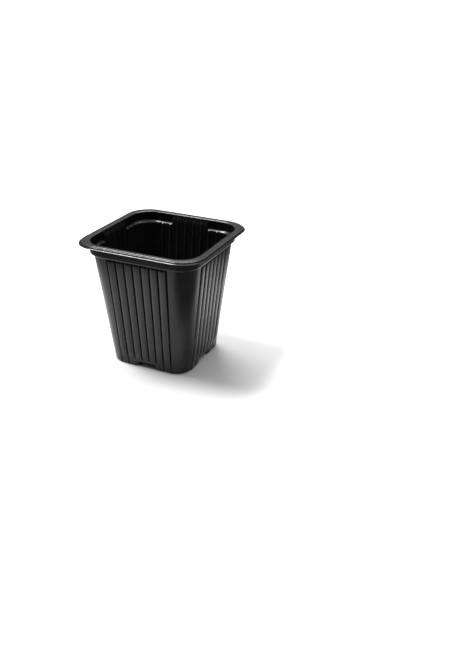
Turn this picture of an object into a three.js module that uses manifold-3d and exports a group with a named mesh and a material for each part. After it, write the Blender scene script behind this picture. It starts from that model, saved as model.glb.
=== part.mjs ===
// Square nursery pot: one thin-walled plastic moulding.
// Millimetres, +Z up. Origin on the ground plane, at the centre of the base, under the feet.
import * as THREE from "three";
import Module from "manifold-3d";

const wasm = await Module();
wasm.setup();

// ---- driving dimensions -------------------------------------------------------------------
const HEIGHT = 98; // feet to top of rim
const SHEET = 0.8; // wall, floor and rim thickness

const RIM_WIDTH = 100; // over the lip, across the flats
const RIM_RADIUS = 18; // plan radius of the lip
const LIP_HEIGHT = 0.7; // small outward lip at the foot of the rolled edge
const LIP_REACH = 0.8;
const ROLL_DROP = 1.9; // rim top to underside of lip
const ROLL_RADIUS = 0.7;

const MOUTH_WIDTH = 86.6; // clear width between the inside faces of the shoulder, at the rim
const MOUTH_RADIUS = 15.2;
const MOUTH_EDGE = 0.7; // rounding of the inside rim edge
const SHOULDER_DRAFT = 0.2; // the shoulder is this much narrower, per side, at its foot

const LEDGE_Z = 88.2; // foot of the shoulder, where the tapered wall begins
const LEDGE_RISE = 0.9; // height over which the ledge turns out to the shoulder
const INNER_LEDGE_FOOT = 89.3; // inside, the ledge slopes up from here
const INNER_LEDGE_TOP = 90.9; // to the shoulder's inside face here
const WALL_TOP_WIDTH = 84.6; // outside, at LEDGE_Z
const WALL_TOP_RADIUS = 17;
const BASE_WIDTH = 65.4; // outside, at the ground plane before the edge is rounded
const BASE_RADIUS = 13.4;
const BASE_EDGE = 1.3; // rounding where the wall turns under to the feet

const PLEATS = 8; // narrow grooves down each face
const PLEAT_PITCH_TOP = 6.85;
const PLEAT_PITCH_BASE = 6.05;
const PLEAT_WIDTH = 0.9;
const PLEAT_DEPTH = 0.6;
const RIDGE_WIDTH = 2.0; // the same grooves, seen as ridges inside
const RIDGE_DEPTH = 0.5;

const LUG_HALF_WIDTH = 15.1; // stacking lug in the middle of each side, inside the shoulder
const LUG_FACE_Z = 93; // its face leans back from here
const LUG_TOP_Z = 96.5; // and runs out into the shoulder here

const DISC_RADIUS = 11.7; // round recess in the middle of the underside
const DISC_DEPTH = 3.0;
const DISC_DRAFT = 0.45;

const CHANNEL_INNER = 14.7; // each side's drainage channel: where it stops, from the centre
const CHANNEL_INNER_HALF = 3.5;
const CHANNEL_OUTER = 27.8; // where the lobe corners begin to turn outwards
const CHANNEL_OUTER_HALF = 5.8;
const CHANNEL_FLARE = 4.4; // plan radius of the lobe corners
const CHANNEL_DEPTH_INNER = 2.6;
const CHANNEL_DEPTH_OUTER = 3.9;

const WELLS = [
  // distance along x and y from the centre, mouth radius, hole radius
  { at: 14.1, mouth: 5.4, hole: 4.2 },
  { at: 21.9, mouth: 4.7, hole: 3.6 },
];
const WELL_DEPTH = 2.6;
const WELL_DRAFT = 0.45;

const PIP_AT = 27.6; // small round pip in the roof of each channel
const PIP_RADIUS = 1.2;
const PIP_HEIGHT = 0.6;

const MARK = { near: 10.9, far: 26.1, length: 4.4, width: 1.5, depth: 0.25 }; // plain sunk bars

const CORNER_STEPS = 8;
const ROUND_STEPS = 20;

const mix = (a, b, t) => a + (b - a) * t;

// ---- solids -------------------------------------------------------------------------------
// A closed solid from outlines of equal point count, each an array of [x, y, z], counter-clockwise.
function loft(outlines) {
  const n = outlines[0].length;
  const xyz = outlines.flat(2);
  const tri = [];
  for (let k = 0; k + 1 < outlines.length; k++)
    for (let i = 0; i < n; i++) {
      const a = k * n + i,
        b = k * n + ((i + 1) % n),
        c = a + n,
        d = b + n;
      tri.push(a, b, d, a, d, c);
    }
  const cap = (outline) =>
    THREE.ShapeUtils.triangulateShape(
      outline.map(([x, y]) => new THREE.Vector2(x, y)),
      [],
    );
  for (const [a, b, c] of cap(outlines[0])) tri.push(a, c, b);
  const top = (outlines.length - 1) * n;
  for (const [a, b, c] of cap(outlines[outlines.length - 1]))
    tri.push(top + a, top + b, top + c);
  return new wasm.Manifold(
    new wasm.Mesh({
      numProp: 3,
      vertProperties: new Float32Array(xyz),
      triVerts: new Uint32Array(tri),
    }),
  );
}

// Turns a point given for the front side (across u, outward v) to side 0..3.
function turned([u, v], side) {
  if (side === 0) return [u, -v];
  if (side === 1) return [v, u];
  if (side === 2) return [-u, v];
  return [-v, -u];
}

// Rounded square, counter-clockwise, with optional grooves across each side. The outermost
// grooves may sit where the corner already begins to turn.
function square(half, radius, z, groove) {
  const out = [];
  const flat = half - radius;
  const edge = (u) =>
    Math.abs(u) <= flat
      ? half
      : flat + Math.sqrt(radius * radius - (Math.abs(u) - flat) ** 2);
  let start = 0;
  if (groove) {
    const last = ((PLEATS - 1) / 2) * groove.pitch + groove.width / 2 + 0.3;
    if (last > flat) start = Math.asin((last - flat) / radius);
  }
  for (let side = 0; side < 4; side++) {
    if (groove)
      for (let k = 0; k < PLEATS; k++) {
        const u = (k - (PLEATS - 1) / 2) * groove.pitch;
        const w = groove.width / 2,
          f = groove.width / 2 - groove.slope;
        for (const [du, d] of [
          [-w, 0],
          [-f, groove.depth],
          [f, groove.depth],
          [w, 0],
        ])
          out.push([...turned([u + du, edge(u + du) - d], side), z]);
      }
    for (let i = 0; i <= CORNER_STEPS; i++) {
      const a = mix(start, Math.PI / 2 - start, i / CORNER_STEPS);
      out.push([
        ...turned(
          [flat + radius * Math.sin(a), flat + radius * Math.cos(a)],
          side,
        ),
        z,
      ]);
    }
  }
  return out;
}

function round(x, y, radius, z, steps = ROUND_STEPS) {
  const out = [];
  for (let i = 0; i < steps; i++) {
    const a = (i / steps) * 2 * Math.PI;
    out.push([x + radius * Math.cos(a), y + radius * Math.sin(a), z]);
  }
  return out;
}

const wallAt = (z) => {
  const t = z / LEDGE_Z;
  return {
    half: mix(BASE_WIDTH, WALL_TOP_WIDTH, t) / 2,
    radius: mix(BASE_RADIUS, WALL_TOP_RADIUS, t),
    pitch: mix(PLEAT_PITCH_BASE, PLEAT_PITCH_TOP, t),
  };
};

// Outside of the tapered wall, grooves included, with the bottom edge rounded under.
function wallLoop(z, inset, depth) {
  const w = wallAt(z);
  return square(w.half - inset, w.radius - inset, z, {
    pitch: w.pitch,
    width: PLEAT_WIDTH,
    slope: 0.22,
    depth,
  });
}
const EDGE = [0, 0.4, 0.75].map((t) => {
  const a = (1 - t) * (Math.PI / 2);
  return [BASE_EDGE * (1 - Math.sin(a)), BASE_EDGE * (1 - Math.cos(a))];
});
const wallOutside = loft([
  ...EDGE.map(([z, inset], i) =>
    wallLoop(z, inset, i < 2 ? 0.02 : PLEAT_DEPTH * 0.6),
  ),
  wallLoop(BASE_EDGE * 1.15, 0, PLEAT_DEPTH),
  wallLoop(LEDGE_Z + 0.5, 0, PLEAT_DEPTH),
]);

// Inside of the tapered wall. It runs on above the ledge, where it only shapes the lugs.
function cavityLoop(z, inset, depth) {
  const w = wallAt(z);
  const side = SHEET + inset;
  return square(w.half - side, w.radius - side, z, {
    pitch: w.pitch,
    width: RIDGE_WIDTH,
    slope: 0.45,
    depth,
  });
}
const wallInside = loft([
  cavityLoop(SHEET, 0.9, 0.02),
  cavityLoop(SHEET + 0.3, 0.35, 0.1),
  cavityLoop(SHEET + 0.95, 0, RIDGE_DEPTH),
  cavityLoop(HEIGHT - 1.2, 0, RIDGE_DEPTH),
]);

// Shoulder and rim, outside.
const mouthHalf = MOUTH_WIDTH / 2;
const shoulderHalf = mouthHalf + SHEET;
const shoulderRadius = MOUTH_RADIUS + SHEET;
const rimHalf = RIM_WIDTH / 2;
const rollHalf = rimHalf - LIP_REACH;
const wallTop = wallAt(LEDGE_Z);
const rimRadiusAt = (half) =>
  mix(
    shoulderRadius,
    RIM_RADIUS,
    (half - shoulderHalf) / (rimHalf - shoulderHalf),
  );
const rimLoop = (half, z) => square(half, rimRadiusAt(half), z);
const ledgeLoop = (t, z) =>
  square(
    mix(wallTop.half, shoulderHalf - SHOULDER_DRAFT, t),
    mix(wallTop.radius, shoulderRadius, t),
    z,
  );
const lipZ = HEIGHT - ROLL_DROP;
const undersideZ = HEIGHT - SHEET;
const rimOutside = loft([
  ledgeLoop(-0.35, LEDGE_Z),
  ledgeLoop(0.5, LEDGE_Z + 0.05),
  ledgeLoop(0.82, LEDGE_Z + 0.25),
  ledgeLoop(0.96, LEDGE_Z + 0.55),
  ledgeLoop(1, LEDGE_Z + LEDGE_RISE),
  rimLoop(shoulderHalf, undersideZ - 0.6),
  rimLoop(shoulderHalf + 0.2, undersideZ - 0.2),
  rimLoop(shoulderHalf + 0.7, undersideZ),
  rimLoop(rollHalf - SHEET - 0.25, undersideZ),
  rimLoop(rollHalf - SHEET, undersideZ - 0.25),
  rimLoop(rollHalf - SHEET, lipZ),
  rimLoop(rimHalf, lipZ),
  rimLoop(rimHalf, lipZ + LIP_HEIGHT * 0.6),
  rimLoop(rimHalf - 0.25, lipZ + LIP_HEIGHT),
  rimLoop(rollHalf, lipZ + LIP_HEIGHT),
  rimLoop(rollHalf, HEIGHT - ROLL_RADIUS),
  rimLoop(rollHalf - ROLL_RADIUS * 0.13, HEIGHT - ROLL_RADIUS * 0.5),
  rimLoop(rollHalf - ROLL_RADIUS * 0.5, HEIGHT - ROLL_RADIUS * 0.13),
  rimLoop(rollHalf - ROLL_RADIUS, HEIGHT),
  rimLoop(shoulderHalf - 0.2, HEIGHT),
]);

// Inside of the shoulder, opening out over the rounded rim edge, less the four lugs.
const mouthLoop = (inset, z) =>
  square(mouthHalf - inset, MOUTH_RADIUS - inset, z);
const innerLedgeLoop = (t, z) =>
  square(
    mix(wallTop.half - SHEET + 0.1, mouthHalf - SHOULDER_DRAFT, t),
    mix(wallTop.radius - SHEET, MOUTH_RADIUS - SHOULDER_DRAFT, t),
    z,
  );
let shoulderInside = loft([
  innerLedgeLoop(0, INNER_LEDGE_FOOT),
  innerLedgeLoop(0.85, INNER_LEDGE_TOP - 0.35),
  innerLedgeLoop(1, INNER_LEDGE_TOP + 0.2),
  mouthLoop(0, HEIGHT - MOUTH_EDGE),
  mouthLoop(-MOUTH_EDGE * 0.13, HEIGHT - MOUTH_EDGE * 0.5),
  mouthLoop(-MOUTH_EDGE * 0.5, HEIGHT - MOUTH_EDGE * 0.13),
  mouthLoop(-MOUTH_EDGE, HEIGHT),
  mouthLoop(-MOUTH_EDGE, HEIGHT + 1),
]);
for (let side = 0; side < 4; side++) {
  const lug = (v0, v1, u, z) =>
    [
      [-u, v1],
      [u, v1],
      [u, v0],
      [-u, v0],
    ].map((p) => [...turned(p, side), z]);
  shoulderInside = shoulderInside.subtract(
    loft([
      lug(38, 46, LUG_HALF_WIDTH, LEDGE_Z - 1),
      lug(wallAt(LUG_FACE_Z).half - SHEET - 0.1, 46, LUG_HALF_WIDTH - 0.3, LUG_FACE_Z),
      lug(mouthHalf + 0.02, 46, LUG_HALF_WIDTH - 0.5, LUG_TOP_Z),
    ]),
  );
}

// Recesses of the underside. grow = 0 gives the outside face, grow = SHEET the inside face.
const disc = (grow) =>
  loft([
    round(0, 0, DISC_RADIUS + grow, -1, 40),
    round(0, 0, DISC_RADIUS + grow, 0.3, 40),
    round(0, 0, DISC_RADIUS - DISC_DRAFT + grow, DISC_DEPTH - 0.3 + grow, 40),
    round(0, 0, DISC_RADIUS - DISC_DRAFT - 0.4 + grow, DISC_DEPTH + grow, 40),
  ]);
const well = (x, y, mouth, grow) =>
  loft([
    round(x, y, mouth + grow + WELL_DRAFT * 0.2, -0.6),
    round(x, y, mouth + grow - WELL_DRAFT, WELL_DEPTH + grow),
  ]);
function channel(side, grow) {
  const roof = (v) =>
    mix(
      CHANNEL_DEPTH_INNER,
      CHANNEL_DEPTH_OUTER,
      Math.min(1, (v - CHANNEL_INNER) / (CHANNEL_OUTER - CHANNEL_INNER)),
    );
  const outline = (draft, height) => {
    const s = draft - grow,
      right = [];
    right.push([CHANNEL_INNER_HALF - s, CHANNEL_INNER + s]);
    const cu = CHANNEL_OUTER_HALF + CHANNEL_FLARE,
      r = CHANNEL_FLARE + s;
    for (let i = 0; i <= 6; i++) {
      const a = Math.PI - ((i / 6) * Math.PI) / 2;
      right.push([cu + r * Math.cos(a), CHANNEL_OUTER + r * Math.sin(a)]);
    }
    right.push([cu, 40]);
    const left = right.map(([u, v]) => [-u, v]).reverse();
    return [...left, ...right].reverse().map(([u, v]) => [
      ...turned([u, v], side),
      height(v),
    ]);
  };
  return loft([
    outline(0, () => -1),
    outline(0.05, (v) => 0.35 * roof(v)),
    outline(0.35, (v) => 0.8 * roof(v) + grow),
    outline(1.0, (v) => roof(v) + grow),
  ]);
}
const pip = (side) => {
  const [x, y] = turned([0, PIP_AT], side);
  const z = CHANNEL_DEPTH_OUTER;
  return loft([
    round(x, y, PIP_RADIUS * 0.45, z - PIP_HEIGHT, 16),
    round(x, y, PIP_RADIUS * 0.85, z - PIP_HEIGHT * 0.6, 16),
    round(x, y, PIP_RADIUS, z - PIP_HEIGHT * 0.1, 16),
    round(x, y, PIP_RADIUS, z + SHEET / 2, 16),
  ]);
};
const mark = (x, y) => {
  const l = MARK.length / 2,
    w = MARK.width / 2;
  const at = (g, z) => [
    [x - l - g, y - w - g, z],
    [x + l + g, y - w - g, z],
    [x + l + g, y + w + g, z],
    [x - l - g, y + w + g, z],
  ];
  return loft([at(0.15, -0.5), at(0.15, 0), at(0, MARK.depth)]);
};

const outsideCuts = [disc(0)],
  insideKeeps = [disc(SHEET)],
  holes = [],
  marks = [],
  pips = [];
for (let side = 0; side < 4; side++) {
  outsideCuts.push(channel(side, 0));
  insideKeeps.push(channel(side, SHEET));
  pips.push(pip(side));
}
for (const sx of [-1, 1])
  for (const sy of [-1, 1]) {
    for (const { at, mouth, hole } of WELLS) {
      const x = sx * at,
        y = sy * at;
      outsideCuts.push(well(x, y, mouth, 0));
      insideKeeps.push(well(x, y, mouth, SHEET));
      holes.push(
        loft([
          round(x, y, hole, WELL_DEPTH - 0.6),
          round(x, y, hole, WELL_DEPTH + SHEET + 0.6),
        ]),
      );
    }
    marks.push(mark(sx * MARK.near, sy * MARK.far));
    marks.push(mark(sx * MARK.far, sy * MARK.near));
  }

const { Manifold } = wasm;
const outside = wallOutside
  .add(rimOutside)
  .subtract(Manifold.union([...outsideCuts, ...marks]));
const inside = wallInside
  .subtract(Manifold.union(insideKeeps))
  .add(shoulderInside);
const pot = outside
  .subtract(inside)
  .subtract(Manifold.union(holes))
  .add(Manifold.union(pips));

// ---- scene --------------------------------------------------------------------------------
function geometryOf(solid) {
  const m = solid.getMesh(),
    n = m.numProp,
    v = new Float32Array(m.numVert * 3);
  for (let i = 0; i < m.numVert; i++)
    v.set(m.vertProperties.subarray(i * n, i * n + 3), i * 3);
  const g = new THREE.BufferGeometry();
  g.setAttribute("position", new THREE.BufferAttribute(v, 3));
  g.setIndex(new THREE.BufferAttribute(new Uint32Array(m.triVerts), 1));
  g.computeVertexNormals();
  return g;
}

const plastic = new THREE.MeshStandardMaterial({
  color: 0x1b1c1d,
  roughness: 0.45,
  metalness: 0,
});
const group = new THREE.Group();
group.name = "square_nursery_pot";
const body = new THREE.Mesh(geometryOf(pot), plastic);
body.name = "pot_body";
group.add(body);

export default group;
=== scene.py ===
import math

import bmesh
import bpy
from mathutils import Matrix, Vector
from mathutils.geometry import delaunay_2d_cdt


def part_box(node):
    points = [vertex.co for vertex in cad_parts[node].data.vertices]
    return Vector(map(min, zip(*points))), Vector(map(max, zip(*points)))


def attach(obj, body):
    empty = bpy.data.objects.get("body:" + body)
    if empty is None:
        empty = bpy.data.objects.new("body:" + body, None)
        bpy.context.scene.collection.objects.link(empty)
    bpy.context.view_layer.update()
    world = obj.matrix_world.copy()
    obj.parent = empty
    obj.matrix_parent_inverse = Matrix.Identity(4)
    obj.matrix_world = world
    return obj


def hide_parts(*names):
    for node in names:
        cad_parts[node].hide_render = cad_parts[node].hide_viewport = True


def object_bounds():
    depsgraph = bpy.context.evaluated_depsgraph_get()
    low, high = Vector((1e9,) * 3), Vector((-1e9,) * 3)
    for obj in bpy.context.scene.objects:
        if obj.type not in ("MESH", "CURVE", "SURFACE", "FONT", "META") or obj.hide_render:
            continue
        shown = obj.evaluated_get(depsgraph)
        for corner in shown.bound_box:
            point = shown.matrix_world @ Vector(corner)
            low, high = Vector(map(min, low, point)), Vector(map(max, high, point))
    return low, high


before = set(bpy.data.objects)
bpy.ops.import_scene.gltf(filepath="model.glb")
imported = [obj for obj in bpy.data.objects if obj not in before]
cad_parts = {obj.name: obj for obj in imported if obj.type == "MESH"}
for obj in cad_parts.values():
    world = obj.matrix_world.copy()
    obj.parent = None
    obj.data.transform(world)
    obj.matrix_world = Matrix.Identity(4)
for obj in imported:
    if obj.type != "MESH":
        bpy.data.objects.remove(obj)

# ---- the CAD box, kept before anything is added -------------------------------------------
CAD_LO, CAD_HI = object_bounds()
CAD_LO, CAD_HI = list(CAD_LO), list(CAD_HI)
NODE_LO, NODE_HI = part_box("pot_body")
MM = (NODE_HI.x - NODE_LO.x) / 100.0  # one millimetre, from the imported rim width

# ---- dimensions, in millimetres, the same as the CAD part's -------------------------------
HEIGHT = 98.0
SHEET = 0.8
RIM = 50.0
RIM_R = 18.0
SHOULDER = 44.1
SHOULDER_R = 16.0
MOUTH = 43.3
MOUTH_R = 15.2
LEDGE_Z = 88.2
WALL_TOP, WALL_TOP_R = 42.3, 17.0
BASE, BASE_R = 32.7, 13.4
PITCH_BASE, PITCH_TOP = 6.05, 6.85
PLEATS = 8
GROOVE = 1.1
RIDGE = 0.6
SWELL = 0.85  # how far each slat stands proud in its middle
LUG = 15.1 / PITCH_TOP  # in pitches
SKIN_Z = 6.0  # below this the skins are contour maps, above it they are lofts
NOTCH = 10.2
FLARE = 4.4
CH_IN, CH_IN_HALF = 14.7, 3.5
CH_OUT_HALF = 5.3
CH_DEPTH_IN, CH_DEPTH_OUT = 2.6, 3.9
DISC_R, DISC_DEPTH = 11.7, 3.0
WELLS = ((14.1, 5.4, 4.2), (21.9, 4.7, 3.6))
WELL_DEPTH, WELL_DRAFT = 2.6, 0.45
PIP_AT = 27.6
MARKS = ((10.9, 26.1), (26.1, 10.9))
MARK_L, MARK_W, MARK_D = 4.4, 1.5, 0.25


def mix(a, b, t):
    return a + (b - a) * t


def smooth(t):
    t = min(1.0, max(0.0, t))
    return t * t * (3 - 2 * t)


def wall(z):
    """Half width and corner radius of the tapered wall's outside at height z."""
    t = z / LEDGE_Z
    return mix(BASE, WALL_TOP, t), mix(BASE_R, WALL_TOP_R, t)


def pitch(z):
    return mix(PITCH_BASE, PITCH_TOP, min(1.0, max(SKIN_Z, z) / LEDGE_Z))


def turned(u, v, side):
    return ((u, -v), (v, u), (-u, v), (-v, -u))[side]


# ---- columns round the pot ----------------------------------------------------------------
# One side's columns, in pleat pitches from its middle, with how deep each sits in the groove.
# (offset of the outside column, its depth, offset of the inside column, its ridge height), mm
PROFILE = (
    (-1.0, 0.0, -1.35, 0.0),
    (-0.75, -0.02, -1.1, 0.05),
    (-0.6, 0.03, -0.85, 0.2),
    (-0.49, 0.32, -0.6, 0.55),
    (-0.39, 0.74, -0.35, 0.88),
    (-0.23, 0.96, -0.16, 0.98),
    (0.0, 1.0, 0.0, 1.0),
    (0.23, 0.96, 0.16, 0.98),
    (0.39, 0.74, 0.35, 0.88),
    (0.49, 0.32, 0.6, 0.55),
    (0.6, 0.03, 0.85, 0.2),
    (0.75, -0.02, 1.1, 0.05),
    (1.0, 0.0, 1.35, 0.0),
)


def side_columns():
    cols = []
    for k in range(PLEATS):
        c = k - (PLEATS - 1) / 2
        for du, d, di, e in PROFILE:
            cols.append(dict(c=c, du=du, d=d, di=di, e=e, k=k))
    for m in range(-3, 4):
        cols.append(dict(c=float(m), du=0, d=0, di=0, e=0, k=None))
        for s in (-0.27, -0.14, 0.14, 0.27):
            cols.append(dict(c=m + s, du=0, d=0, di=0, e=0, k=None))
    for m in (-LUG - 0.07, -LUG - 0.035, -LUG, LUG, LUG + 0.035, LUG + 0.07):
        cols.append(dict(c=m, du=0, d=0, di=0, e=0, k=None))
    cols.sort(key=lambda q: q["c"] * PITCH_TOP + q["du"])
    for q in cols:
        a = abs(q["c"] + q["du"] / PITCH_TOP)
        q["lug"] = smooth((LUG + 0.07 - a) / 0.07)
    return cols


SIDE = side_columns()
CORNER = 18


def edge(u, half, radius):
    flat = half - radius
    a = abs(u)
    return half if a <= flat else flat + math.sqrt(max(0.0, radius * radius - (a - flat) ** 2))


def loop(half, radius, z, groove=0.0, ridge=0.0, inner=0.0, lug=None, p=None, middle=1.0, swell=0.0):
    """Closed ring of points. inner = 0 places the columns for the outside's grooves, 1 for the
    inside's ridges. lug = (half, z) of the ring where it runs over a stacking lug."""
    pts = []
    p = pitch(z) if p is None else p
    last = 3.5 * p + mix(1.0, 1.35, inner) + 0.2
    flat = half - radius
    start = math.asin((last - flat) / radius) if last > flat else 0.0
    for side in range(4):
        for q in SIDE:
            u = q["c"] * p + mix(q["du"], q["di"], inner)
            g = groove * (middle if abs(q["c"]) < 2 else 1.0)
            v = edge(u, half, radius) - g * q["d"] - ridge * q["e"]
            at = q["c"] + q["du"] / PITCH_TOP
            if swell and abs(at) < 3.5:  # each slat between two grooves is slightly rounded
                v += swell * (1 - abs(2 * (at - round(at))) ** 2.4)
            zz = z
            if lug is not None and q["lug"] > 0:
                v = mix(v, lug[0] - ridge * q["e"], q["lug"])
                zz = mix(zz, lug[1], q["lug"])
            x, y = turned(u, v, side)
            pts.append((x, y, zz))
        for i in range(CORNER + 1):
            a = mix(start, math.pi / 2 - start, i / CORNER)
            x, y = turned(flat + radius * math.sin(a), flat + radius * math.cos(a), side)
            pts.append((x, y, z))
    return pts


# ---- mesh collector -----------------------------------------------------------------------
VERTS, FACES, KIND = [], [], []
INDEX = {}


def vert(p):
    key = (round(p[0], 4), round(p[1], 4), round(p[2], 4))
    if key not in INDEX:
        INDEX[key] = len(VERTS)
        VERTS.append(p)
    return INDEX[key]


def face(ids):
    out = []
    for i in ids:
        if not out or out[-1] != i:
            out.append(i)
    if len(out) > 1 and out[0] == out[-1]:
        out.pop()
    if len(out) > 2:
        FACES.append(out)


def strip(a, b, flip=False):
    n = len(a)
    ia, ib = [vert(p) for p in a], [vert(p) for p in b]
    for i in range(n):
        j = (i + 1) % n
        f = [ia[i], ia[j], ib[j], ib[i]]
        face(f[::-1] if flip else f)


# ---- walls, shoulder and rim: one loft from the outside bottom over the rim and down inside
def outside_rings():
    rings = []
    for z in (SKIN_Z, 6.5, 7.1, 7.8, 10.0, 14.0, 30.0, 48.0, 66.0, 80.0, 86.0, 86.9, 87.5, 87.9):
        h, r = wall(z)
        sw = SWELL * smooth((z - SKIN_Z) / 6.0) * smooth((88.1 - z) / 2.0)
        rings.append(loop(h, r, z, groove=GROOVE, middle=smooth((z - SKIN_Z) / 1.8), swell=sw))
    top, top_r = wall(LEDGE_Z)
    step = SHOULDER - 0.2 - top
    for out, z, g in (
        (0.05, 88.05, 0.58),
        (0.17, 88.15, 0.5),
        (0.34, 88.2, 0.3),
        (0.62, 88.22, 0.0),
        (0.95, 88.27, 0.0),
        (1.24, 88.41, 0.0),
        (1.45, 88.66, 0.0),
        (1.57, 88.98, 0.0),
        (1.62, 89.4, 0.0),
    ):
        t = out / step
        rings.append(loop(top + out, mix(top_r, SHOULDER_R, t), z, groove=GROOVE * g / 0.6 if g else 0.0, p=PITCH_TOP))
    prof = [
        (43.95, 91.5),
        (44.02, 94.2),
        (44.1, 96.2),
        (44.13, 96.55),
        (44.24, 96.84),
        (44.45, 97.06),
        (44.75, 97.17),
        (45.2, 97.2),
        (47.7, 97.2),
        (48.0, 97.17),
        (48.22, 97.06),
        (48.34, 96.88),
        (48.38, 96.66),
        (48.4, 96.3),
        (48.45, 96.16),
        (48.6, 96.1),
        (49.68, 96.1),
        (49.85, 96.13),
        (49.96, 96.23),
        (50.0, 96.24),
        (49.99, 96.34),
        (49.95, 96.43),
        (49.86, 96.5),
        (49.56, 96.7),
        (49.47, 96.75),
        (49.38, 96.76),
        (49.29, 96.72),
        (49.2, 96.6),
        (49.08, 96.45),
        (48.94, 96.4),
        (48.78, 96.42),
        (48.69, 96.5),
        (48.66, 96.62),
        (48.72, 96.84),
        (48.81, 97.1),
        (48.85, 97.27),
        (48.84, 97.38),
        (48.77, 97.49),
        (48.58, 97.62),
        (48.46, 97.67),
        (48.3, 97.69),
        (47.4, 97.69),
        (47.28, 97.71),
        (47.2, 97.75),
        (46.98, 97.9),
        (46.88, 97.96),
        (46.74, 98.0),
        (45.4, 98.0),
        (44.7, 97.95),
        (44.2, 97.88),
        (43.82, 97.76),
        (43.55, 97.58),
        (43.38, 97.34),
        (43.3, 97.02),
    ]
    for h, z in prof:
        t = (h - SHOULDER) / (RIM - SHOULDER)
        r = mix(SHOULDER_R, RIM_R, t)
        b = smooth((h - 44.0) / 4.0) if z < 97.5 else 1.0
        rings.append(loop(h, r, z, inner=b if z < 97.3 and h > 43.7 else 1.0, p=PITCH_TOP))
    return rings


def inside_rings():
    rings = []
    ledge = [
        (43.27, 95.6),
        (43.2, 93.4),
        (43.14, 91.7),
        (43.06, 91.1),
        (42.88, 90.72),
        (42.55, 90.4),
        (42.15, 90.04),
        (41.86, 89.76),
        (41.72, 89.58),
        (41.64, 89.38),
        (wall(89.1)[0] - SHEET, 89.1),
    ]
    lugs = [
        (43.29, 96.9),
        (43.25, 96.55),
        (43.1, 96.1),
        (42.85, 95.4),
        (42.56, 94.6),
        (42.32, 93.95),
        (42.16, 93.45),
        (42.07, 93.1),
        (42.0, 92.6),
        (41.88, 91.6),
        (wall(89.1)[0] - SHEET, 89.1),
    ]
    for i, ((h, z), (lh, lz)) in enumerate(zip(ledge, lugs)):
        t = (h - 41.5) / (MOUTH - 41.5)
        r = mix(WALL_TOP_R - SHEET, MOUTH_R, smooth(t))
        ridge = RIDGE * smooth((i - 1) / 7)
        rings.append(loop(h, r, z, ridge=ridge if i >= 8 else 0.0, inner=1.0, lug=(lh, lz), p=PITCH_TOP))
        if i < 8 and ridge > 0:  # the ridges show on the lug only, above the ledge
            pts, k = rings[-1], 0
            for side in range(4):
                for q in SIDE:
                    if q["e"] and q["lug"] > 0.99:
                        u, v = q["c"] * PITCH_TOP + q["di"], lh - ridge * q["e"]
                        x, y = turned(u, v, side)
                        pts[k] = (x, y, lz)
                    k += 1
                k += CORNER + 1
    for z in (88.3, 86.0, 78.0, 64.0, 48.0, 32.0, 16.0, 9.0, 7.5, SKIN_Z):
        h, r = wall(z)
        rings.append(loop(h - SHEET, r - SHEET, z, ridge=RIDGE * smooth((z - SKIN_Z) / 2.5), inner=1.0))
    return rings


RINGS = outside_rings() + inside_rings()
for a, b in zip(RINGS, RINGS[1:]):
    strip(a, b)


# ---- floor: each skin is a contour map of the base ------------------------------------------
def roof(v):
    return mix(CH_DEPTH_IN, CH_DEPTH_OUT, min(1.0, (v - CH_IN) / (27.8 - CH_IN)))


def base_contour(inset, zw, s, zc, grow=0.0, groove=0.0):
    """Outline of the lobes at one level: the wall's outline, broken by the four channels.
    inset: how far inside the wall's face. s: how far the channel's side has closed in."""
    h, r = wall(zw)
    h, r = h - grow - inset, r - grow - inset
    p = pitch(SKIN_Z)
    last = 3.5 * p + 1.2
    flat = h - r
    start = math.asin((last - flat) / r) if last > flat else 0.0
    pts = []
    for side in range(4):
        rf = FLARE - grow + s
        cv = h - rf
        half_in = CH_IN_HALF + grow - s
        v_in = CH_IN - grow + s
        rc = max(0.25, 1.4 + grow * 0.5 - s)
        right = []
        # from the channel's inner end outwards, on the right-hand side
        for i in range(4):
            right.append(((half_in - rc) * i / 3, v_in, 0.0))
        for i in range(1, 6):
            a = (i / 5) * math.pi / 2
            right.append((half_in - rc + rc * math.sin(a), v_in + rc - rc * math.cos(a), 0.0))
        u0, v0 = right[-1][0], right[-1][1]
        u1, v1 = NOTCH - rf, cv
        for i in range(1, 8):
            t = i / 8
            right.append((mix(u0, u1, t), mix(v0, v1, t), 0.0))
        for i in range(13):
            a = (i / 12) * math.pi / 2
            right.append((NOTCH - rf * math.cos(a), cv + rf * math.sin(a), smooth((i - 2) / 9)))
        cols = [q for q in SIDE if q["c"] * p + q["du"] > NOTCH + 0.25]
        for q in cols:
            if grow and q["k"] is not None and q["d"]:
                continue
            u = q["c"] * p + q["du"]
            g = groove * q["d"] if q["k"] is not None and q["c"] > 2 else 0.0
            right.append((u, edge(u, h, r) - g, 1.0))
        left = [(-u, v, w) for u, v, w in reversed(right[1:])]
        for u, v, w in left + right:
            x, y = turned(u, v, side)
            pts.append((x, y, mix(zc(v), zw, w)))
        n = CORNER
        for i in range(n + 1):
            a = mix(start, math.pi / 2 - start, i / n)
            x, y = turned(flat + r * math.sin(a), flat + r * math.cos(a), side)
            pts.append((x, y, zw))
    return pts


def circle(x, y, r, z, n=48):
    return [(x + r * math.cos(2 * math.pi * i / n), y + r * math.sin(2 * math.pi * i / n), z) for i in range(n)]


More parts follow.
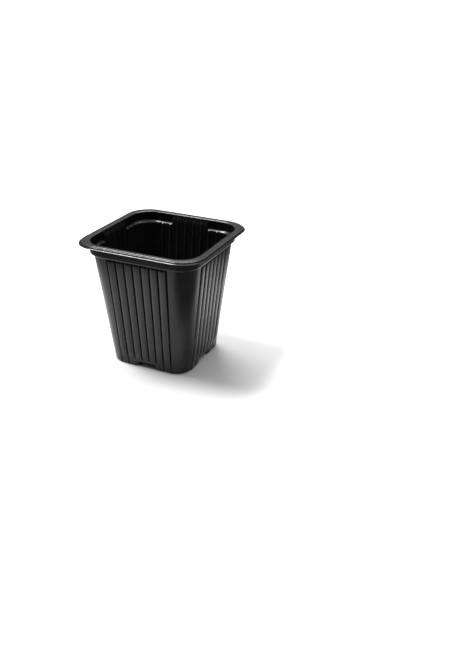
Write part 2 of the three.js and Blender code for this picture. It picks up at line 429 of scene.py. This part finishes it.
def pair(x1, y1, r1, x2, y2, r2, z, n=48):
    """Outline of two circles together: one loop if they overlap, else two."""
    d = math.hypot(x2 - x1, y2 - y1)
    if r1 + r2 <= d:
        return [circle(x1, y1, r1, z, n), circle(x2, y2, r2, z, n)]
    a0 = math.atan2(y2 - y1, x2 - x1)
    c1 = math.acos((d * d + r1 * r1 - r2 * r2) / (2 * d * r1))
    c2 = math.acos((d * d + r2 * r2 - r1 * r1) / (2 * d * r2))
    out = []
    for i in range(n + 1):
        a = a0 + mix(c1, 2 * math.pi - c1, i / n)
        out.append((x1 + r1 * math.cos(a), y1 + r1 * math.sin(a), z))
    for i in range(1, n):
        a = a0 + math.pi + mix(c2, 2 * math.pi - c2, i / n)
        out.append((x2 + r2 * math.cos(a), y2 + r2 * math.sin(a), z))
    return [out]


def bar(x, y, g, z):
    l, w, r = MARK_L / 2 + g, MARK_W / 2 + g, 0.35 + g
    out = []
    for k, (sx, sy) in enumerate(((1, -1), (1, 1), (-1, 1), (-1, -1))):
        for i in range(5):
            a = -math.pi / 2 + k * math.pi / 2 + (i / 4) * math.pi / 2
            out.append((x + sx * (l - r) + r * math.cos(a), y + sy * (w - r) + r * math.sin(a), z))
    return out


def outside_of(outline, x, y):
    odd = False
    for (x0, y0, _), (x1, y1, _) in zip(outline, outline[1:] + outline[:1]):
        if (y0 > y) != (y1 > y) and x < x0 + (y - y0) * (x1 - x0) / (y1 - y0):
            odd = not odd
    return not odd


def contour_skin(loops, lines, up, outline):
    """Triangulates nested outlines, each point with its own height. up = which way it faces."""
    co, source, edges = [], [], []
    for pts, closed in [(l, True) for l in loops] + [(l, False) for l in lines]:
        base = len(co)
        co += [Vector((p[0], p[1])) for p in pts]
        source += pts
        n = len(pts)
        edges += [(base + i, base + (i + 1) % n) for i in range(n if closed else n - 1)]
    v, e, f, ov, oe, of_ = delaunay_2d_cdt(co, edges, [], 1, 1e-5, True)
    points = []
    for p, o in zip(v, ov):
        if o:
            points.append(source[o[0]])
        else:
            near = min(range(len(co)), key=lambda i: (co[i] - p).length_squared)
            points.append((p.x, p.y, source[near][2]))
    holes = [(sx * at, sy * at, hole) for at, m, hole in WELLS for sx in (-1, 1) for sy in (-1, 1)]
    for tri in f:
        if all(abs(points[i][2] - SKIN_Z) < 1e-9 for i in tri):
            x, y = (sum(points[i][k] for i in tri) / 3 for k in (0, 1))
            if outside_of(outline, x, y):
                continue
        c = sum((v[i] for i in tri), Vector((0, 0))) / len(tri)
        if any(math.hypot(c.x - x, c.y - y) < r * 0.995 for x, y, r in holes):
            continue
        area = (v[tri[1]] - v[tri[0]]).cross(v[tri[2]] - v[tri[0]])
        ids = [vert(points[i]) for i in tri]
        if (area > 0) != up:
            ids.reverse()
        face(ids)


CORNERS = [(sx, sy) for sx in (-1, 1) for sy in (-1, 1)]


def quarter(radius, k, n):
    """Point k of n on a quarter-round: (sideways, up), from the flat (0) to the upright (n)."""
    a = math.pi / 2 * (1 - k / n)
    return radius * (1 - math.cos(a)), radius * (1 - math.sin(a))


# underside
loops, lines = [], []
N = 5
for k in range(N + 1):
    inset, zw = quarter(1.25, k, N)
    s, zc = quarter(0.75, k, N)
    g = GROOVE * (0.0, 0.3, 0.55, 0.8, 0.95, 1.0)[k]
    loops.append(base_contour(inset, zw, -s, lambda v, z=zc: z, groove=g))
for zw, f, s in ((2.2, 0.5, 0.13), (3.0, 0.78, 0.27), (3.5, 0.91, 0.42), (3.8, 0.975, 0.62), (4.0, 1.0, 0.95)):
    loops.append(base_contour(0.0, zw, s, lambda v, f=f: f * roof(v), groove=GROOVE))


def notch_row(inset, z, reach, grow=0.0):
    """A line along the wall above a channel's mouth."""
    out = []
    for side in range(4):
        h, r = wall(z)
        n = 20
        out.append([(*turned(mix(-reach, reach, i / n), h - grow - inset, side), z) for i in range(n + 1)])
    return out


for inset, z, reach in ((0.85, 3.9, 5.6), (0.5, 3.98, 6.2), (0.2, 4.2, 7.0), (0.04, 4.6, 7.8)):
    lines += notch_row(inset, z, reach)
loops.append(loop(*wall(5.2), 5.2, groove=GROOVE, p=pitch(SKIN_Z), middle=0.0))
outer_edge = loop(*wall(SKIN_Z), SKIN_Z, groove=GROOVE, middle=0.0)
loops.append(outer_edge)
for dr, z in ((0.45, 0.0), (0.2, 0.05), (0.04, 0.2), (-0.02, 0.42), (-0.3, 2.35), (-0.38, 2.7), (-0.55, 2.92), (-0.85, 3.0)):
    loops.append(circle(0, 0, DISC_R + dr, z, 96))
for sx, sy in CORNERS:
    for at, mouth, hole in WELLS:
        fl = mouth - WELL_DRAFT
        for r, z in (
            (mouth + 0.4, 0.0),
            (mouth + 0.17, 0.05),
            (mouth + 0.03, 0.18),
            (mouth - 0.02, 0.38),
            (fl, 2.2),
            (fl - 0.06, 2.42),
            (fl - 0.2, 2.56),
            (fl - 0.38, WELL_DEPTH),
            (hole + 0.1, WELL_DEPTH),
            (hole + 0.03, WELL_DEPTH + 0.03),
            (hole, WELL_DEPTH + 0.1),
        ):
            loops.append(circle(sx * at, sy * at, r, z))
    for mx, my in MARKS:
        for g, z in ((0.14, 0.0), (0.04, 0.05), (-0.03, 0.2), (-0.14, MARK_D)):
            loops.append(bar(sx * mx, sy * my, g, z))
for side in range(4):
    x, y = turned(0, PIP_AT, side)
    top = roof(PIP_AT)
    for r, dz in ((1.55, 0.0), (1.35, 0.04), (1.2, 0.16), (1.05, 0.36), (0.8, 0.5), (0.45, 0.58), (0.15, 0.6)):
        loops.append([(a, b, roof(-b if side == 0 else a if side == 1 else b if side == 2 else -a) - dz) for a, b, c in circle(x, y, r, top, 24)])
contour_skin(loops, lines, up=False, outline=outer_edge)

# upper side of the floor
loops, lines = [], []
N = 4
for k in range(N + 1):
    inset, zw = quarter(0.9, k, N)
    s, zc = quarter(0.6, k, N)
    loops.append(base_contour(inset, SHEET + zw, -s, lambda v, z=zc: SHEET + z, grow=SHEET))
for zw, f, s in ((2.9, 0.5, 0.13), (3.9, 0.84, 0.27), (4.25, 0.95, 0.4), (4.5, 0.99, 0.6), (4.7, 1.0, 0.9)):
    loops.append(base_contour(0.0, zw, s, lambda v, f=f: SHEET + f * roof(v), grow=SHEET))
for inset, z, reach in ((0.8, 4.71, 5.4), (0.4, 4.82, 6.0), (0.12, 5.05, 6.8)):
    lines += notch_row(inset, z, reach, grow=SHEET)
h6, r6 = wall(SKIN_Z)
inner_edge = loop(h6 - SHEET, r6 - SHEET, SKIN_Z, inner=1.0)
loops.append(inner_edge)
for dr, z in ((1.25, 0.8), (1.0, 0.87), (0.83, 1.05), (0.76, 1.3), (0.5, 3.3), (0.38, 3.62), (0.15, 3.76), (-0.15, 3.8)):
    loops.append(circle(0, 0, DISC_R + dr, z, 96))
(at1, m1, o1), (at2, m2, o2) = WELLS
for sx, sy in CORNERS:
    x1, y1, x2, y2 = sx * at1, sy * at1, sx * at2, sy * at2
    for dr, z in ((1.25, 0.8), (1.02, 0.86), (0.86, 1.02), (0.78, 1.25), (0.38, 3.1), (0.28, 3.3), (0.08, 3.4)):
        loops += pair(x1, y1, m1 + dr, x2, y2, m2 + dr, z)
    for x, y, o in ((x1, y1, o1), (x2, y2, o2)):
        loops.append(circle(x, y, o + 0.1, 3.4))
        loops.append(circle(x, y, o + 0.03, 3.37))
        loops.append(circle(x, y, o, 3.3))
        strip(circle(x, y, o, WELL_DEPTH + 0.1), circle(x, y, o, 3.3), flip=True)
contour_skin(loops, lines, up=True, outline=inner_edge)

# ---- the mesh -----------------------------------------------------------------------------
mesh = bpy.data.meshes.new("pot_shell")
mesh.from_pydata([(x * MM, y * MM, z * MM) for x, y, z in VERTS], [], FACES)
bm = bmesh.new()
bm.from_mesh(mesh)
bmesh.ops.remove_doubles(bm, verts=bm.verts, dist=2e-7)
loose = [v for v in bm.verts if not v.link_faces]
bmesh.ops.delete(bm, geom=loose, context="VERTS")
bmesh.ops.recalc_face_normals(bm, faces=bm.faces)
print("shell faces", len(bm.faces), "open edges", sum(len(e.link_faces) != 2 for e in bm.edges))
bm.normal_update()
bm.verts.ensure_lookup_table()
bend = []
for v in bm.verts:
    out_most, in_most = 0.0, 0.0
    for e in v.link_edges:
        if len(e.link_faces) == 2:
            span = sum(f.calc_area() for f in e.link_faces) / (2 * max(1e-9, e.calc_length()))
            k = e.calc_face_angle_signed(0.0) / max(0.08, span / MM)  # radians per millimetre
            out_most, in_most = max(out_most, k), min(in_most, k)
    bend.append((out_most, -in_most))
near = [v.co.copy() for v in bm.verts]
links = [[e.other_vert(v).index for e in v.link_edges] for v in bm.verts]
bm.to_mesh(mesh)
bm.free()


def spread(values, rounds):
    """Evens a value out over neighbouring points that are under 0.6 mm apart."""
    for _ in range(rounds):
        nxt = list(values)
        for i, ns in enumerate(links):
            close = [values[j] for j in ns if (near[i] - near[j]).length < 0.6 * MM]
            if close:
                nxt[i] = 0.5 * values[i] + 0.5 * sum(close) / len(close)
        values = nxt
    return values


edge_wear = spread([smooth((a - 0.15) / 0.9) for a, b in bend], 2)
# how concave each point is; this mask drives the painted shade that darkens grooves and creases in the material
crease_shade = spread([smooth((b - 0.25) / 1.2) for a, b in bend], 2)
for name, values in (("edge_wear", edge_wear), ("crease_shade", crease_shade)):
    layer = mesh.attributes.new(name, "FLOAT", "POINT")
    layer.data.foreach_set("value", values)
for poly in mesh.polygons:
    poly.use_smooth = True
pot = bpy.data.objects.new("pot_shell", mesh)
bpy.context.scene.collection.objects.link(pot)


# ---- material -----------------------------------------------------------------------------
class Graph:
    """Small helper for building a node tree."""

    def __init__(self, tree):
        self.tree = tree
        self.x = 0

    def add(self, kind, **props):
        n = self.tree.nodes.new(kind)
        n.location = (self.x, 0)
        self.x += 180
        for k, v in props.items():
            setattr(n, k, v)
        return n

    def put(self, socket, value):
        if hasattr(value, "links"):
            self.tree.links.new(value, socket)
        else:
            socket.default_value = value

    def math(self, op, a, b=0.0, clamp=False):
        n = self.add("ShaderNodeMath", operation=op, use_clamp=clamp)
        self.put(n.inputs[0], a)
        self.put(n.inputs[1], b)
        return n.outputs[0]

    def ramp(self, v, lo, hi, out_lo=0.0, out_hi=1.0):
        n = self.add("ShaderNodeMapRange", interpolation_type="SMOOTHSTEP")
        for i, x in enumerate((v, lo, hi, out_lo, out_hi)):
            self.put(n.inputs[i], x)
        return n.outputs[0]

    def noise(self, vector, scale, detail=2.0, rough=0.5, stretch=None):
        if stretch:
            m = self.add("ShaderNodeMapping")
            self.put(m.inputs[0], vector)
            m.inputs["Scale"].default_value = stretch
            vector = m.outputs[0]
        n = self.add("ShaderNodeTexNoise")
        self.put(n.inputs["Vector"], vector)
        n.inputs["Scale"].default_value = scale
        n.inputs["Detail"].default_value = detail
        n.inputs["Roughness"].default_value = rough
        return n.outputs[0]

    def blend(self, factor, a, b):
        n = self.add("ShaderNodeMix", data_type="RGBA")
        self.put(n.inputs[0], factor)
        self.put(n.inputs[6], a)
        self.put(n.inputs[7], b)
        return n.outputs[2]

    def bump(self, height, strength, distance, normal=None):
        n = self.add("ShaderNodeBump")
        n.inputs["Strength"].default_value = strength
        n.inputs["Distance"].default_value = distance
        self.put(n.inputs["Height"], height)
        if normal is not None:
            self.put(n.inputs["Normal"], normal)
        return n.outputs[0]


def black_polypropylene():
    m = bpy.data.materials.new("black_polypropylene")
    m.use_nodes = True
    nt = m.node_tree
    nt.nodes.clear()
    g = Graph(nt)
    at = g.add("ShaderNodeTexCoord").outputs["Object"]
    wear = g.add("ShaderNodeAttribute", attribute_name="edge_wear").outputs["Fac"]
    # concave-crease mask, used for painted shade in grooves and creases
    crease_shade_at = g.add("ShaderNodeAttribute", attribute_name="crease_shade").outputs["Fac"]
    facing = g.add("ShaderNodeSeparateXYZ")
    g.put(facing.inputs[0], g.add("ShaderNodeNewGeometry").outputs["Normal"])
    upward = g.ramp(facing.outputs[2], 0.35, 0.95)

    clouds = g.noise(at, 38.0, 4.0, 0.55)  # uneven melt, about 25 mm
    flow = g.noise(at, 1.0, 3.0, 0.6, stretch=(420.0, 420.0, 14.0))  # flow and draw lines down the wall
    mottle = g.noise(at, 420.0, 3.0, 0.6)  # 2-3 mm
    grain = g.noise(at, 2600.0, 2.0, 0.6)  # the mould's spark finish, 0.4 mm
    fine = g.noise(at, 7000.0, 1.0, 0.5)
    patch = g.noise(at, 95.0, 3.0, 0.6)

    # hairline scuffs: thin bands of stretched noise, two directions, only in patches
    hair_a = g.noise(at, 1.0, 2.0, 0.5, stretch=(160.0, 1900.0, 1500.0))
    hair_b = g.noise(at, 1.0, 2.0, 0.5, stretch=(1900.0, 240.0, 1300.0))
    line_a = g.math("SUBTRACT", 1.0, g.ramp(g.math("ABSOLUTE", g.math("SUBTRACT", hair_a, 0.5)), 0.0, 0.02))
    line_b = g.math("SUBTRACT", 1.0, g.ramp(g.math("ABSOLUTE", g.math("SUBTRACT", hair_b, 0.5)), 0.0, 0.018))
    where = g.ramp(patch, 0.55, 0.72)
    scuff = g.math("MULTIPLY", g.math("MAXIMUM", line_a, line_b), where)

    # worn edges, broken up by noise, and dust lying on upward faces; concave grooves and creases get painted shade
    # below
    worn = g.math("MULTIPLY", wear, g.ramp(mottle, 0.38, 0.66, 0.25, 1.0))
    specks = g.ramp(g.noise(at, 3400.0, 2.0, 0.7), 0.66, 0.74)
    dust = g.math("MULTIPLY", upward, g.ramp(mottle, 0.42, 0.75))
    dust = g.math("ADD", g.math("MULTIPLY", dust, 0.3), g.math("MULTIPLY", g.math("MULTIPLY", specks, upward), 0.55), clamp=True)

    base = g.blend(g.ramp(clouds, 0.3, 0.72), (0.0062, 0.0064, 0.0067, 1), (0.0098, 0.0099, 0.0101, 1))
    base = g.blend(g.math("MULTIPLY", g.ramp(flow, 0.42, 0.7), 0.5), base, (0.0145, 0.0146, 0.0148, 1))
    base = g.blend(g.math("MULTIPLY", worn, 0.6), base, (0.040, 0.040, 0.041, 1))
    base = g.blend(g.math("MULTIPLY", scuff, 0.35), base, (0.040, 0.040, 0.041, 1))
    base = g.blend(g.math("MULTIPLY", dust, 0.22), base, (0.11, 0.105, 0.098, 1))
    # painted shade: grooves and creases darkened towards black, standing in for their shadow
    base = g.blend(g.math("MULTIPLY", crease_shade_at, 0.85), base, (0.0022, 0.0022, 0.0024, 1))

    rough = g.ramp(clouds, 0.28, 0.74, 0.205, 0.29)
    rough = g.math("ADD", rough, g.math("MULTIPLY", g.math("SUBTRACT", flow, 0.5), 0.16))
    rough = g.math("ADD", rough, g.math("MULTIPLY", g.math("SUBTRACT", grain, 0.5), 0.10))
    rough = g.math("ADD", rough, g.math("MULTIPLY", scuff, 0.16))
    rough = g.math("ADD", rough, g.math("MULTIPLY", dust, 0.12))
    rough = g.math("ADD", rough, g.math("MULTIPLY", crease_shade_at, 0.2))
    rough = g.math("SUBTRACT", rough, g.math("MULTIPLY", worn, 0.07))
    rough = g.math("MINIMUM", g.math("MAXIMUM", rough, 0.16), 0.75)

    n1 = g.bump(clouds, 0.3, 0.00012)
    n2 = g.bump(flow, 0.15, 0.00004, n1)
    n3 = g.bump(mottle, 0.08, 0.00002, n2)
    n4 = g.bump(grain, 0.12, 0.00001, n3)
    n5 = g.bump(fine, 0.1, 0.000005, n4)
    n6 = g.bump(scuff, 0.3, 0.00001, n5)

    bsdf = g.add("ShaderNodeBsdfPrincipled")
    g.put(bsdf.inputs["Base Color"], base)
    g.put(bsdf.inputs["Roughness"], rough)
    g.put(bsdf.inputs["Normal"], n6)
    bsdf.inputs["IOR"].default_value = 1.45
    out = g.add("ShaderNodeOutputMaterial")
    g.put(out.inputs[0], bsdf.outputs[0])
    return m


pot.data.materials.append(black_polypropylene())
wn = pot.modifiers.new("weighted_normals", "WEIGHTED_NORMAL")
wn.mode = "FACE_AREA_WITH_ANGLE"
wn.weight = 50
wn.keep_sharp = False

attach(pot, "root")
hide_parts("pot_body")

# ---- floor, world, lights, camera -----------------------------------------------------------
WORLD_LOW, WORLD_HIGH = 0.05, 1.25
LIGHTS = (
    # name, place, aimed at, size in metres, radiance
    ("behind_left", (-0.10, 0.24, 0.50), (0.07, 0.08, 0.0), (0.20, 0.20), 14.0),
    ("back_wall", (-0.35, 1.20, 0.66), (0, 0, 0.09), (1.5, 0.45), 0.35),
)
KEY_FROM, KEY_STRENGTH, KEY_ANGLE = (-0.46, -0.06, 0.88), 3.0, 0.32
floor_mesh = bpy.data.meshes.new("floor")
bmf = bmesh.new()
bmesh.ops.create_grid(bmf, x_segments=1, y_segments=1, size=6.0)
bmf.to_mesh(floor_mesh)
bmf.free()
floor = bpy.data.objects.new("floor", floor_mesh)
bpy.context.scene.collection.objects.link(floor)
floor.location = (0, 0, -0.00002)
fm = bpy.data.materials.new("floor_white")
fm.use_nodes = True
fg = Graph(fm.node_tree)
fp = fg.add("ShaderNodeSeparateXYZ")
fg.put(fp.inputs[0], fg.add("ShaderNodeTexCoord").outputs["Object"])
# Painted light on the floor: for reflected and bounced light its colour is a painted pool of light near the pot, with
# painted shade away from it and to the right; camera rays see it an even white.
away = fg.math("SQRT", fg.math("ADD", fg.math("POWER", fp.outputs[0], 2.0), fg.math("POWER", fp.outputs[1], 2.0)))
side = fg.math("SUBTRACT", fg.math("MULTIPLY", fp.outputs[0], 0.9), fg.math("MULTIPLY", fp.outputs[1], 0.44))
painted_falloff = fg.math("MAXIMUM", fg.ramp(away, 0.13, 0.23), fg.ramp(side, 0.07, 0.115))
seen = fg.add("ShaderNodeLightPath").outputs["Is Camera Ray"]
# painted shade: the floor's reflected colour darkens from 0.86 to 0.12 away from the pot and to the right
shade = fg.blend(painted_falloff, (0.86, 0.86, 0.86, 1), (0.12, 0.12, 0.12, 1))
fg.put(fm.node_tree.nodes["Principled BSDF"].inputs["Base Color"], fg.blend(seen, shade, (0.9, 0.9, 0.9, 1)))
fm.node_tree.nodes["Principled BSDF"].inputs["Roughness"].default_value = 0.8
fm.node_tree.nodes["Principled BSDF"].inputs["Specular IOR Level"].default_value = 0.1
floor.data.materials.append(fm)

world = bpy.data.worlds.new("studio")
bpy.context.scene.world = world
world.use_nodes = True
wg = Graph(world.node_tree)
sky = wg.add("ShaderNodeSeparateXYZ")
wg.put(sky.inputs[0], wg.add("ShaderNodeTexCoord").outputs["Generated"])
lift = wg.ramp(sky.outputs[2], 0.35, 0.9, WORLD_LOW, WORLD_HIGH)  # dim near the horizon, bright above
lift = wg.math("MULTIPLY", lift, wg.ramp(sky.outputs[1], -0.5, 0.15, 0.3, 1.0))  # and dimmer in front
wg.put(world.node_tree.nodes["Background"].inputs[0], (1, 1, 1, 1))
seen = wg.add("ShaderNodeLightPath").outputs["Is Camera Ray"]
gap = wg.math("SUBTRACT", 1.0, lift)
wg.put(world.node_tree.nodes["Background"].inputs[1], wg.math("ADD", lift, wg.math("MULTIPLY", seen, gap)))


def area(name, loc, target, size, power):
    l = bpy.data.lights.new(name, "AREA")
    l.shape = "RECTANGLE"
    l.size, l.size_y = size
    l.energy = power
    o = bpy.data.objects.new(name, l)
    bpy.context.scene.collection.objects.link(o)
    o.location = loc
    o.rotation_mode = "QUATERNION"
    o.rotation_quaternion = (Vector(target) - Vector(loc)).to_track_quat("-Z", "Y")
    return o


key = bpy.data.objects.new("key", bpy.data.lights.new("key", "SUN"))
key.data.energy, key.data.angle = KEY_STRENGTH, KEY_ANGLE
key.rotation_mode = "QUATERNION"
key.rotation_quaternion = (-Vector(KEY_FROM)).to_track_quat("-Z", "Y")
bpy.context.scene.collection.objects.link(key)
for name, loc, target, size, radiance in LIGHTS:
    area(name, loc, target, size, radiance * math.pi * size[0] * size[1])

cam_data = bpy.data.cameras.new("camera")
cam = bpy.data.objects.new("camera", cam_data)
bpy.context.scene.collection.objects.link(cam)
FOCAL, AZ, EL, ROLL = 748.1884, 0.4004, 0.4664, 0.0228
cam_data.sensor_width = 36.0
cam_data.lens = FOCAL * 36.0 / 661.0
fwd = Vector((-math.sin(AZ) * math.cos(EL), math.cos(AZ) * math.cos(EL), -math.sin(EL)))
right = Vector((math.cos(AZ), math.sin(AZ), 0.0))
up = right.cross(fwd)
r2 = math.cos(ROLL) * right + math.sin(ROLL) * up
u2 = -math.sin(ROLL) * right + math.cos(ROLL) * up
from mathutils import Matrix

cam.matrix_world = Matrix(
    (
        (r2.x, u2.x, -fwd.x, 254.3006 * MM),
        (r2.y, u2.y, -fwd.y, -464.0931 * MM),
        (r2.z, u2.z, -fwd.z, 283.6321 * MM),
        (0, 0, 0, 1),
    )
)
cam_data.clip_start = 0.01
cam_data.clip_end = 50
bpy.context.scene.camera = cam

sc = bpy.context.scene
sc.view_settings.view_transform = "Standard"
sc.view_settings.look = "None"
sc.view_settings.exposure = 0.0
sc.view_settings.gamma = 1.0
